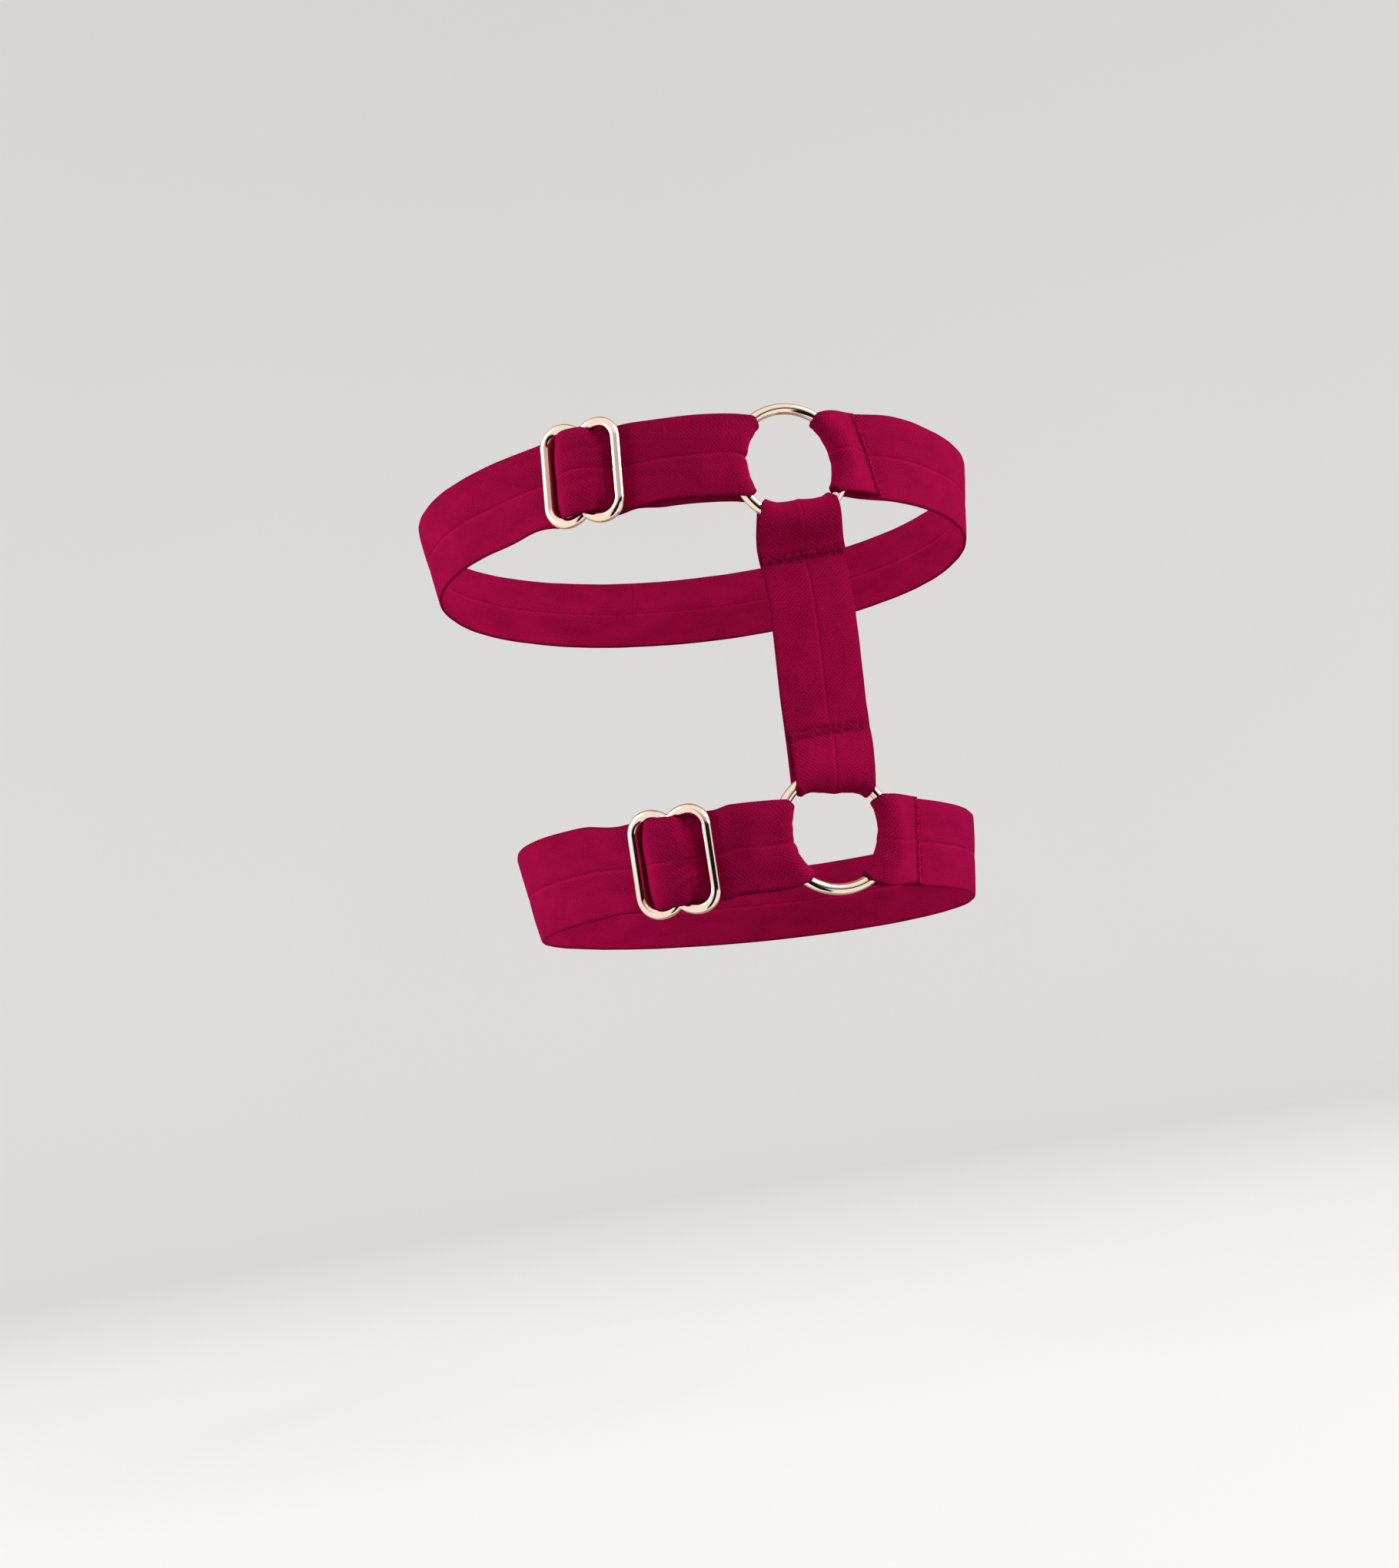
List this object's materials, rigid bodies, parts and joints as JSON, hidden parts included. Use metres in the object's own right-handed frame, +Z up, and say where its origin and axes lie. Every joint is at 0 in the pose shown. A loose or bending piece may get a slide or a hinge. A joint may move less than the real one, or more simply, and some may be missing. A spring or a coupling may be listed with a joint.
{
  "type": "thigh harness",
  "caption": "Thigh harness of crimson satin elastic: bands round the thigh, each with a metal slider, joined in front by an upright strap between metal rings.",
  "frame": {"origin": "on the axis of the thigh, half way between the bands, where the harness sits on the thigh", "axes": "+Z up the thigh towards the hip, -Y to the front where the upright strap is, +X to the right of the front view"},
  "size_m": [0.1769, 0.1652, 0.1437],
  "materials": {
    "elastic": "satin fold-over elastic",
    "metal": "polished warm nickel"
  },
  "bodies": {
    "root": {"upper_band": "elastic", "upper_ring": "metal", "upper_slider": "metal", "lower_band": "elastic", "lower_ring": "metal", "lower_slider": "metal", "centre_strap": "elastic"}
  },
  "joints": []
}
